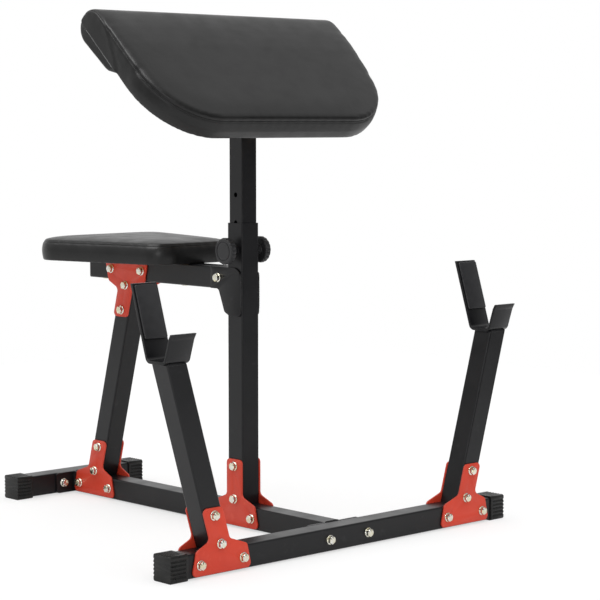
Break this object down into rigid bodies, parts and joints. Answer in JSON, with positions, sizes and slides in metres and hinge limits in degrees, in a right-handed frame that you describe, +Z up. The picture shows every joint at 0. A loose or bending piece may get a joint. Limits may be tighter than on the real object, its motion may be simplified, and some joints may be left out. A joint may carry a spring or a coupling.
{
  "type": "preacher curl bench",
  "caption": "Preacher curl bench: square-tube frame with splayed bar cradles, sloping arm pad on a pinned sliding post and a tapered seat.",
  "frame": {"origin": "on the floor in the middle of the footprint", "axes": "+X along the front crossbar, +Y from the crossbar and its bar cradles towards the seat and the user, +Z up; left is -X, as seen from in front of the crossbar"},
  "size_m": [0.8154, 0.8306, 0.9271],
  "materials": {
    "black_powder_coat": "satin black powder coat on steel tube and plate",
    "orange_powder_coat": "satin orange-red powder coat on steel plate",
    "zinc_steel": "bright zinc plated steel",
    "spring_steel": "drawn spring wire",
    "cap_rubber": "moulded ribbed black rubber",
    "pad_leather": "black synthetic leather, soft sheen, sewn seams",
    "pad_plywood": "raw plywood",
    "knob_plastic": "moulded black plastic",
    "liner_plastic": "black nylon wear strip",
    "plug_plastic": "moulded black polyethylene"
  },
  "bodies": {
    "frame": {"centre_post": "black_powder_coat", "clamp_nut": "black_powder_coat", "flange_bolts": "zinc_steel", "front_crossbar": "black_powder_coat", "front_left_cap": "cap_rubber", "front_right_cap": "cap_rubber", "gusset_bolts": "zinc_steel", "hex_nuts": "zinc_steel", "left_bar_cradle": "black_powder_coat", "left_cradle_liner": "liner_plastic", "left_front_gusset": "orange_powder_coat", "left_rail_bracket": "black_powder_coat", "left_rear_gusset": "orange_powder_coat", "left_upright": "black_powder_coat", "main_beam": "black_powder_coat", "pin_barrel": "black_powder_coat", "pin_spring": "spring_steel", "post_left_gusset": "orange_powder_coat", "post_right_gusset": "orange_powder_coat", "rear_foot": "black_powder_coat", "rear_left_cap": "cap_rubber", "rear_right_cap": "cap_rubber", "right_bar_cradle": "black_powder_coat", "right_cradle_liner": "liner_plastic", "right_front_gusset": "orange_powder_coat", "right_rail_bracket": "black_powder_coat", "right_rear_gusset": "orange_powder_coat", "right_upright": "black_powder_coat", "seat_board": "pad_plywood", "seat_bolts": "zinc_steel", "seat_cushion": "pad_leather", "seat_lower_left_gusset": "orange_powder_coat", "seat_lower_right_gusset": "orange_powder_coat", "seat_post": "black_powder_coat", "seat_rail": "black_powder_coat", "seat_rail_bolt": "zinc_steel", "seat_rail_plug": "plug_plastic", "seat_upper_left_gusset": "orange_powder_coat", "seat_upper_right_gusset": "orange_powder_coat"},
    "arm_pad_slider": {"inner_post": "black_powder_coat", "arm_pad_plate": "black_powder_coat", "arm_pad_board": "pad_plywood", "arm_pad_cushion": "pad_leather", "arm_pad_bolts": "zinc_steel"},
    "height_pin": {"pull_pin": "zinc_steel", "pull_pin_knob": "knob_plastic"},
    "clamp": {"clamp_screw": "zinc_steel", "clamp_knob": "knob_plastic"}
  },
  "joints": [
    {"name": "pad_height", "type": "slide", "parent": "frame", "child": "arm_pad_slider", "axis": [0, 0, 1], "range_m": [-0.1, 0.1]},
    {"name": "pin_push", "type": "slide", "parent": "frame", "child": "height_pin", "axis": [1, 0, 0], "range_m": [0, 0.006], "deforming": ["pin_spring"]},
    {"name": "clamp_turn", "type": "hinge", "parent": "frame", "child": "clamp", "pos_m": [0, -0.12291, 0.503], "axis": [1, 0, 0], "range_deg": [-360, 60]}
  ]
}
